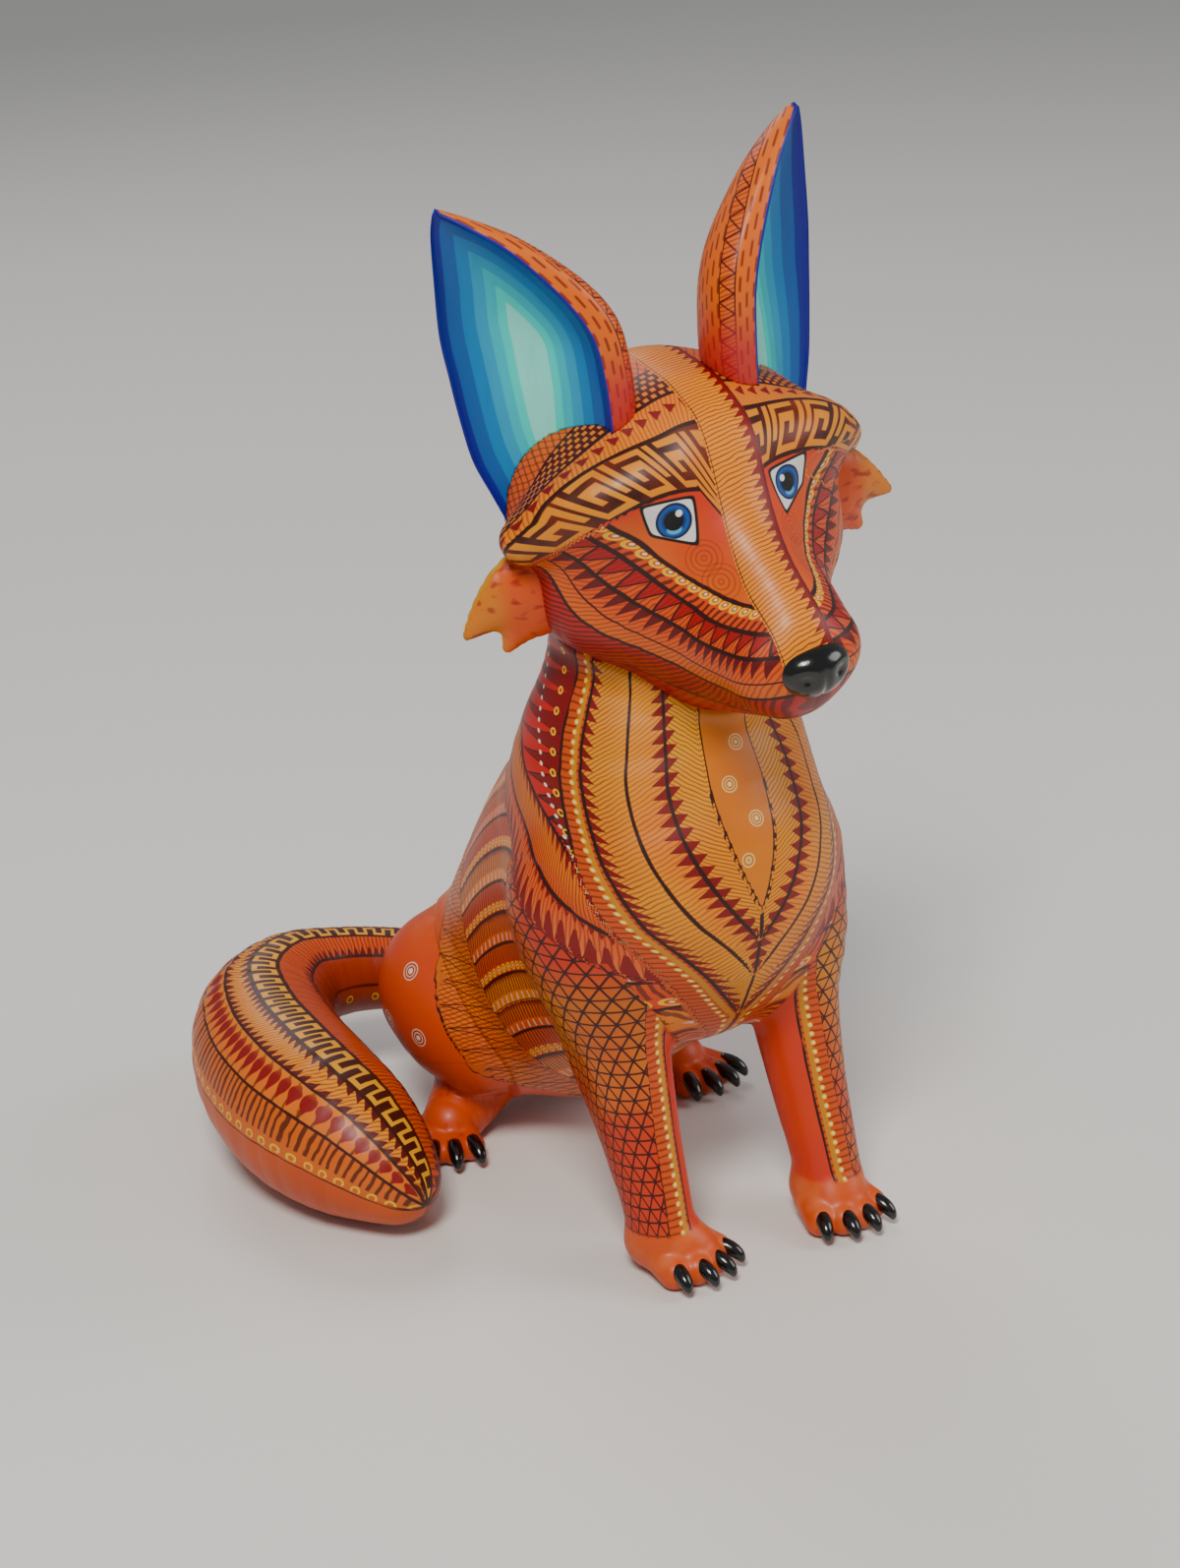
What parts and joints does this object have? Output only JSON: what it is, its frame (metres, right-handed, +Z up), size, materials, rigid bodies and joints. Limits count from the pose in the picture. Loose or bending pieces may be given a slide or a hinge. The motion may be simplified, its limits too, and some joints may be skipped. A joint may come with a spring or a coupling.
{
  "type": "carved animal figure",
  "caption": "Seated carved-wood fox figure with lift-off leaf-shaped ears and a draw-out curled tail, painted in fine geometric bands.",
  "frame": {"origin": "centre of the figure's box, on the surface that it sits on", "axes": "+Z up; the fox faces -Y and its right side is towards -X"},
  "size_m": [0.2077, 0.2584, 0.3602],
  "materials": {
    "painted_body": "acrylic paint in fine bands on sanded wood, satin",
    "painted_head": "acrylic paint in fine bands on sanded wood, satin",
    "painted_ear": "acrylic paint, blue scoop and salmon back, satin",
    "painted_tuft": "acrylic paint, satin",
    "painted_leg": "acrylic paint in fine bands on sanded wood, satin",
    "painted_tail": "acrylic paint in fine bands on sanded wood, satin",
    "black_gloss": "gloss black paint",
    "bare_wood": "bare pale wood"
  },
  "bodies": {
    "root": {"torso": "painted_body", "head": "painted_head", "neck_dowel": "bare_wood", "nose": "black_gloss", "cheek_tuft_right": "painted_tuft", "cheek_tuft_left": "painted_tuft", "foreleg_right": "painted_leg", "foreleg_left": "painted_leg", "foreleg_dowel_right": "bare_wood", "foreleg_dowel_left": "bare_wood", "hind_leg_right": "painted_leg", "hind_leg_left": "painted_leg", "hind_leg_dowel_right": "bare_wood", "hind_leg_dowel_left": "bare_wood", "fore_claws_right": "black_gloss", "fore_claws_left": "black_gloss", "hind_claws_right": "black_gloss", "hind_claws_left": "black_gloss"},
    "ear_right": {"ear_right": "painted_ear", "ear_peg_right": "bare_wood"},
    "ear_left": {"ear_left": "painted_ear", "ear_peg_left": "bare_wood"},
    "tail": {"tail": "painted_tail", "tail_peg": "bare_wood"}
  },
  "joints": [
    {"name": "ear_right_lift", "type": "slide", "parent": "root", "child": "ear_right", "axis": [-0.3412, 0.0239, 0.9397], "range_m": [0, 0.03]},
    {"name": "ear_left_lift", "type": "slide", "parent": "root", "child": "ear_left", "axis": [0.0696, -0.0049, 0.9976], "range_m": [0, 0.03]},
    {"name": "tail_draw", "type": "slide", "parent": "root", "child": "tail", "axis": [-0.7526, 0.6585, 0], "range_m": [0, 0.035]}
  ]
}
